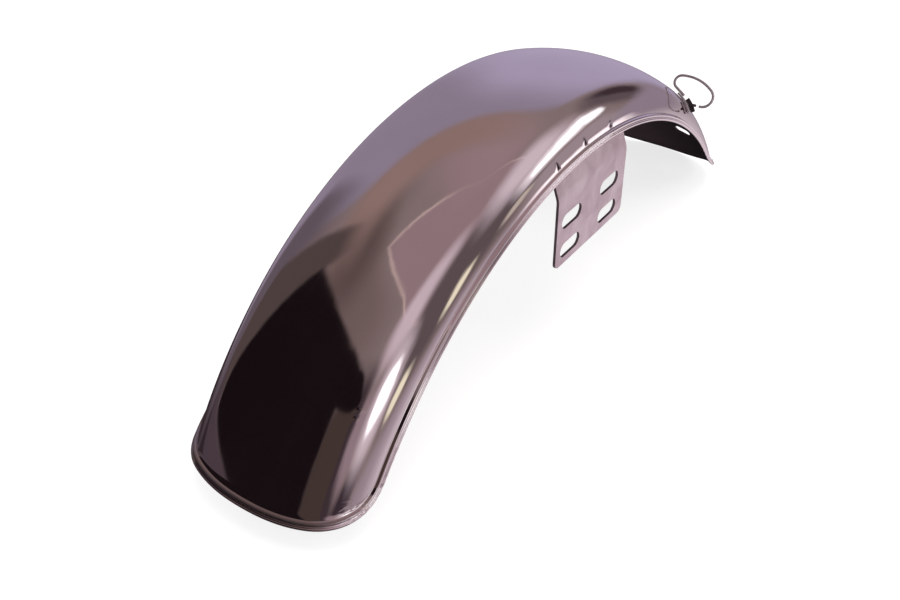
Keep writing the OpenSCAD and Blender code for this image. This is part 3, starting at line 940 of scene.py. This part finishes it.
# %% Areas and planes of direction
PLATING = 0.80
world = bpy.data.worlds.new("workshop")
bpy.context.scene.world = world
world.use_nodes = True
wt = world.node_tree
wt.nodes.clear()
toward = add(wt, "ShaderNodeTexCoord").outputs["Generated"]
split = add(wt, "ShaderNodeSeparateXYZ", [("Vector", toward)]).outputs
turned = maths(wt, "ARCTAN2", split["Y"], split["X"])
height_angle = maths(wt, "ARCSINE", split["Z"])


def shown_as(colour, gain=1.0):
    """Light that shows as this colour after the plating has taken its share: linear value times
    the gain, divided by the plating's reflectance."""
    return tuple(v * gain / PLATING for v in tint(colour)[:3]) + (1.0,)


def window(below, colour, gain, azimuth, elevation, width, height, soft, square, limit=None):
    """Lays one lit or dark area over what is below. Its outline is a superellipse in azimuth and
    elevation: the p-th root of |da / half width|^p + |de / half height|^p is eased across 1. A
    limit is a share that it is multiplied by."""
    def far(angle, size):
        """Distance from the middle over half the size, to the power p."""
        share = maths(wt, "MULTIPLY", angle, 2 / math.radians(size))
        return maths(wt, "POWER", maths(wt, "ABSOLUTE", share), square)

    da = maths(wt, "WRAP", maths(wt, "SUBTRACT", turned, math.radians(azimuth)), math.pi, -math.pi)
    de = maths(wt, "SUBTRACT", height_angle, math.radians(elevation))
    edge = maths(wt, "POWER", maths(wt, "ADD", far(da, width), far(de, height)), 1 / square)
    share = ranged(wt, edge, 1 - soft, 1 + soft, 1.0, 0.0, "SMOOTHSTEP")
    if limit is not None:
        share = maths(wt, "MULTIPLY", share, limit)
    return blend(wt, share, below, shown_as(colour, gain))


def in_front(planes, shift, soft):
    """Share of a direction in front of some planes: each plane's normal dotted with the
    direction is eased across its offset, and the shares are multiplied."""
    share = 1.0
    for normal, offset in planes:
        dot = add(wt, "ShaderNodeVectorMath", [(0, toward)], operation="DOT_PRODUCT")
        dot.inputs[1].default_value = normal
        middle = offset + shift
        part = ranged(wt, dot.outputs["Value"], middle - soft, middle + soft, kind="SMOOTHSTEP")
        share = maths(wt, "MULTIPLY", part, share)
    return share


print("world ready for areas")

# %% [markdown]
# ## The workshop round the blade
# The photograph was taken in a workshop, and the list is what its reflections show, in the
# order in which it is laid: ceiling and floor, pale bench on the right, dark doorway behind
# with a sloping top edge and a brown cloth beside it, lavender wall ahead with a copper band
# over it, cupboard, window and a round lamp shade. Colours are written as the chrome shows
# them. Each line holds colour, gain, azimuth, elevation, width, height (all four in degrees),
# softness and squareness; True at the end means only below the doorway's top edge.

# %% Surroundings by direction
SURROUNDINGS = [
    ("#8d7679", 1.0, 12, 66, 80, 34, 0.70, 2),  # ceiling, lighter ahead
    ("#6a5b58", 1.0, 130, 58, 110, 22, 0.50, 3),  # brown end of the ceiling
    ("#554744", 1.0, 112, 56, 56, 20, 0.60, 2),  # its darkest part
    ("#54474b", 1.0, 0, -60, 380, 96, 0.25, 8),  # floor of the workshop
    ("#2c2226", 1.0, 130, -30, 150, 56, 0.35, 4),  # dark floor behind on the left
    ("#120e10", 1.0, 56, -58, 90, 44, 0.30, 4),  # darkest floor ahead
    ("#94858c", 1.0, -70, -14, 110, 20, 0.60, 4),  # low wall on the right
    ("#d2c4ca", 1.0, -40, -40, 104, 52, 0.45, 3),  # pale bench on the right
    ("#c0aeb4", 1.0, -112, 51, 62, 24, 0.50, 2.5),  # lit ceiling patch
    ("#241b1f", 1.0, 165, -8, 62, 28, 0.20, 4),  # threshold of the doorway
    ("#3a2f33", 1.0, -162, 22, 42, 50, 0.30, 4),  # dark wall behind
    ("#8a777c", 1.0, -139, 22, 20, 26, 0.50, 2),  # pink streak beside it
    ("#352a30", 1.0, -130, 0, 30, 16, 0.50, 2),  # dark box under that
    ("#40342f", 1.0, -170, 12, 24, 50, 0.08, 10),  # brown cloth on the wall
    ("#584c4e", 1.0, -79, 24, 58, 46, 0.35, 3),  # dark shelves
    ("#876f69", 1.0, 60, 52, 92, 16, 0.55, 3),  # copper band over the lavender wall
    ("#857a8a", 1.0, 47, 12, 84, 66, 0.07, 5),  # lavender wall ahead
    ("#a095ac", 1.0, 22, 6, 34, 52, 0.45, 3),  # its lit part
    ("#5d5259", 1.0, 86, 8, 22, 56, 0.40, 4),  # its dark part
    ("#4b403e", 1.0, 102, 22, 16, 60, 0.20, 6),  # door post
    ("#463a40", 1.0, 126, -5, 54, 9, 0.30, 6),  # plum sill
    ("#140c0f", 1.0, 143.5, 30, 69, 61, 0.03, 14, True),  # dark doorway behind
    ("#140c0f", 1.0, -172, 48.5, 36, 24, 0.06, 8, True),  # its part over the cloth
    ("#574b4f", 1.0, -9, 16, 20, 28, 0.45, 3),  # cupboard
    ("#392d30", 1.0, -5, 14, 9, 22, 0.50, 2),  # its open door
    ("#877985", 1.0, -15, -4, 40, 16, 0.40, 3),  # box under it
    ("#c4b4ba", 1.0, -45, 40, 42, 26, 0.60, 2.5),  # glow over the window
    ("#94868a", 1.0, -40, 5, 26, 16, 0.35, 4),  # wall under the window
    ("#e8dde1", 1.0, -40, 22.5, 32, 13, 0.35, 4),  # window frame
    ("#ffffff", 1.3, -38.5, 22.0, 27, 8, 0.14, 6),  # window
    ("#ffffff", 1.2, -27, 19, 10, 9, 0.35, 2.5),  # its sunlit corner
    ("#c8b8be", 1.0, -116, 21, 28, 34, 0.50, 2),  # glow round the lamp shade
    ("#ffffff", 1.3, -115.5, 21.5, 19, 17, 0.22, 2.4),  # round lamp shade
    ("#e8dfc4", 1.0, -96, 5, 10, 10, 0.45, 2),  # three warm spots
    ("#e8dfc4", 1.0, -75, 9, 10, 10, 0.45, 2),
    ("#b3a79b", 1.0, -57, 10, 9, 8, 0.45, 2),
    ("#fff2f4", 1.2, -39, -9, 22, 9, 0.40, 4),  # light strip low on the right
]
SEAMS = [((-0.397, -0.607, 0.688), 0.545), ((0.540, -0.281, 0.794), 0.570)]
LINTEL = [((-0.7213, 0.3714, -0.5847), 0.019)]

base = add(wt, "ShaderNodeRGB")
base.outputs[0].default_value = shown_as("#7d6d6c")
sky = blend(wt, in_front(SEAMS, -0.008, 0.005), base.outputs[0], shown_as("#b29d97"))
sky = blend(wt, in_front(SEAMS, 0.008, 0.006), sky, shown_as("#8a7477"))
lintel = in_front(LINTEL, 0.0, 0.02)
for line in SURROUNDINGS:
    sky = window(sky, *line[:8], limit=lintel if line[8:] else None)
print("surroundings of %d areas" % len(SURROUNDINGS))

# %% [markdown]
# ## Who sees what
# Mirror rays see the workshop and camera rays see white. All other light is one even grey,
# with two soft lamps that give the floor its shadow and the plates their shape.

# %% World by kind of ray
around = add(wt, "ShaderNodeBackground", [("Color", sky)], Strength=1.0)
even = add(wt, "ShaderNodeBackground", Color=(0.55, 0.55, 0.55, 1), Strength=1.0)
white = add(wt, "ShaderNodeBackground", Color=(1, 1, 1, 1), Strength=1.0)
ray = add(wt, "ShaderNodeLightPath").outputs
light_pick = add(wt, "ShaderNodeMixShader",
                 [(0, ray["Is Glossy Ray"]), (1, even.outputs[0]), (2, around.outputs[0])])
view_pick = add(wt, "ShaderNodeMixShader",
                [(0, ray["Is Camera Ray"]), (1, light_pick.outputs[0]), (2, white.outputs[0])])
add(wt, "ShaderNodeOutputWorld", [("Surface", view_pick.outputs[0])])
print("world has %d nodes" % len(wt.nodes))


# %% Lamps
def soft_lamp(name, where, size, power, colour):
    """A square area lamp that faces the middle of the blade and shows in no reflection."""
    data = bpy.data.lights.new(name, "AREA")
    data.shape, data.size, data.energy, data.color = "SQUARE", size, power, tint(colour)[:3]
    ob = bpy.data.objects.new(name, data)
    bpy.context.scene.collection.objects.link(ob)
    ob.location = where
    ob.visible_glossy = False
    facing = Vector((0, MIDDLE_Y, 0)) - Vector(where)
    ob.rotation_euler = facing.to_track_quat("-Z", "Y").to_euler()


soft_lamp("ceiling_lamp", (0.2, -0.3, 2.2), 1.6, 22, "#fff6f2")
soft_lamp("door_lamp", (1.1, -1.5, 1.0), 0.9, 12, "#fffaf4")
print("two lamps")

# %% [markdown]
# ## Camera
# The camera's place, direction and lens were solved from the photograph's outlines, so a
# render can be laid over it. It stands behind and to the right of the blade, looking down.

# %% Camera
LENS_PX, PICTURE_PX, SENSOR = 1083.03, 900, 36.0
CAMERA_AT = (-566.69, -352.41, 638.86)
forward = Vector((0.65493, 0.45805, -0.60105)).normalized()
right = Vector((0.57149, -0.82061, -0.00265)).normalized()
upward = right.cross(forward).normalized()
right = forward.cross(upward).normalized()
cam_data = bpy.data.cameras.new("camera")
cam_data.sensor_width = SENSOR
cam_data.lens = LENS_PX / PICTURE_PX * SENSOR
camera = bpy.data.objects.new("camera", cam_data)
bpy.context.scene.collection.objects.link(camera)
facing = Matrix((right, upward, -forward)).transposed().to_4x4()
camera.matrix_world = Matrix.Translation(to_row(CAMERA_AT)) @ facing
bpy.context.scene.camera = camera
bpy.context.scene.view_settings.view_transform = "Standard"
print("lens %.1f mm" % cam_data.lens)

# %% [markdown]

# %% Finish
print("finished")
